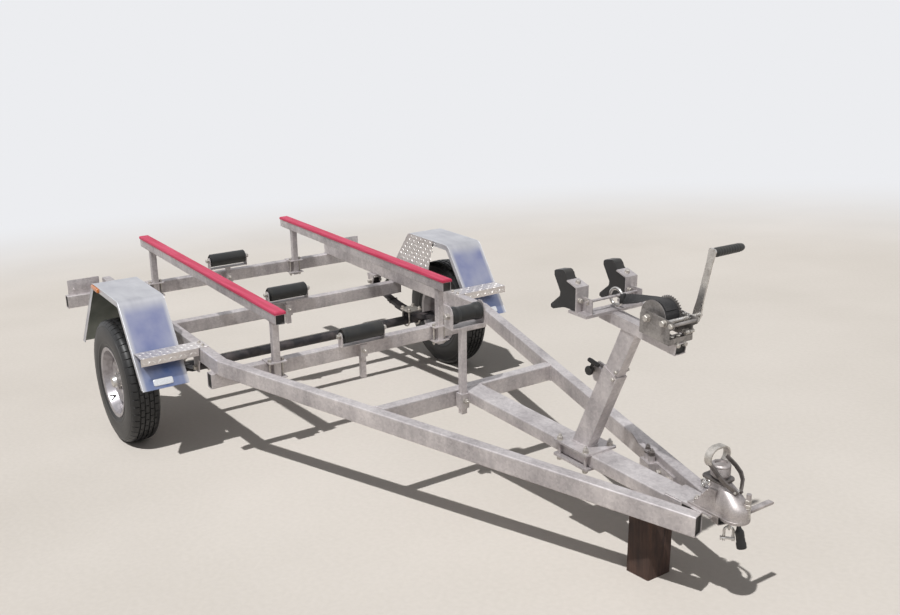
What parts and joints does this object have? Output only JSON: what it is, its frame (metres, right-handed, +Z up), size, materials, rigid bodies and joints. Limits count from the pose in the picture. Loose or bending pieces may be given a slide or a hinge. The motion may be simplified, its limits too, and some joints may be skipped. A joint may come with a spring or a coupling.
{
  "type": "boat trailer",
  "caption": "Single-axle galvanised boat trailer with skid bunks, keel rollers, telescoping winch post and ball coupling, parked nose down on a block.",
  "frame": {"origin": "middle of the whole trailer's box, on the ground", "axes": "+X forwards to the coupling, +Y to the trailer's left, +Z up"},
  "size_m": [4.3093, 2.164, 1.1871],
  "materials": {
    "galvanised": "hot dip galvanised, dull",
    "guard_steel": "smooth zinc sheet",
    "checker_plate": "raised pattern plate",
    "skid": "matte skid strip",
    "rubber": "moulded black rubber",
    "tyre": "black tyre rubber",
    "rim": "silver paint",
    "bright_steel": "bright plated",
    "black_paint": "black paint",
    "timber": "rough dark timber",
    "lamp": "red and amber lens",
    "cast_grey": "zinc plated casting",
    "webbing": "black woven strap",
    "black_plastic": "black moulded plastic"
  },
  "bodies": {
    "chassis": {"axle": "black_paint", "bow_blocks": "rubber", "bunk_posts": "galvanised", "bunk_skid_left": "skid", "bunk_skid_right": "skid", "bunks": "galvanised", "coupling_body": "cast_grey", "coupling_latch": "cast_grey", "cross_member_front": "galvanised", "cross_member_middle": "galvanised", "cross_member_neck": "galvanised", "cross_member_rear": "galvanised", "drawbar_pole": "galvanised", "guard_plates": "checker_plate", "jockey_bracket": "galvanised", "leaf_springs": "black_paint", "mudguards": "guard_steel", "plug_lead": "black_plastic", "rail_left": "galvanised", "rail_right": "galvanised", "roller_brackets": "galvanised", "safety_chain": "bright_steel", "spring_hangers": "galvanised", "steps": "checker_plate", "strap_hook": "bright_steel", "tail_lamps": "lamp", "timber_block": "timber", "trailer_plug": "black_plastic", "winch_arm": "galvanised", "winch_frame": "galvanised", "winch_post_inner": "galvanised", "winch_post_outer": "galvanised", "winch_strap": "webbing"},
    "wheel_right": {"tyre_right": "tyre", "rim_right": "rim", "hub_right": "bright_steel"},
    "wheel_left": {"tyre_left": "tyre", "rim_left": "rim", "hub_left": "bright_steel"},
    "roller_rear": {"keel_roller_rear": "rubber"},
    "roller_middle": {"keel_roller_middle": "rubber"},
    "roller_front": {"keel_roller_front": "rubber"},
    "roller_bow": {"keel_roller_bow": "rubber"},
    "drum": {"winch_drum": "galvanised", "strap_roll": "webbing"},
    "crank": {"winch_crank": "bright_steel", "crank_grip": "rubber"}
  },
  "joints": [
    {"name": "wheel_right_spin", "type": "hinge", "parent": "chassis", "child": "wheel_right", "pos_m": [-1.0194, -1.002, 0.322], "axis": [0, 1, 0], "continuous": true},
    {"name": "wheel_left_spin", "type": "hinge", "parent": "chassis", "child": "wheel_left", "pos_m": [-1.0194, 1.002, 0.322], "axis": [0, 1, 0], "continuous": true},
    {"name": "keel_roller_rear_spin", "type": "hinge", "parent": "chassis", "child": "roller_rear", "pos_m": [-2.02316, 0, 0.68346], "axis": [0, 1, 0], "continuous": true},
    {"name": "keel_roller_middle_spin", "type": "hinge", "parent": "chassis", "child": "roller_middle", "pos_m": [-1.15947, 0, 0.5954], "axis": [0, 1, 0], "continuous": true},
    {"name": "keel_roller_front_spin", "type": "hinge", "parent": "chassis", "child": "roller_front", "pos_m": [-0.30019, 0, 0.51472], "axis": [0, 1, 0], "continuous": true},
    {"name": "keel_roller_bow_spin", "type": "hinge", "parent": "chassis", "child": "roller_bow", "pos_m": [0.70593, -0.05, 0.79221], "axis": [0, 1, 0], "continuous": true},
    {"name": "drum_spin", "type": "hinge", "parent": "chassis", "child": "drum", "pos_m": [1.77819, 0, 0.95891], "axis": [0, 1, 0], "continuous": true},
    {"name": "crank_spin", "type": "hinge", "parent": "chassis", "child": "crank", "pos_m": [1.85294, 0, 0.95277], "axis": [0, 1, 0], "continuous": true}
  ],
  "couplings": [
    {"joint": "crank_spin", "follows": "drum_spin", "ratio": -3.1667}
  ]
}
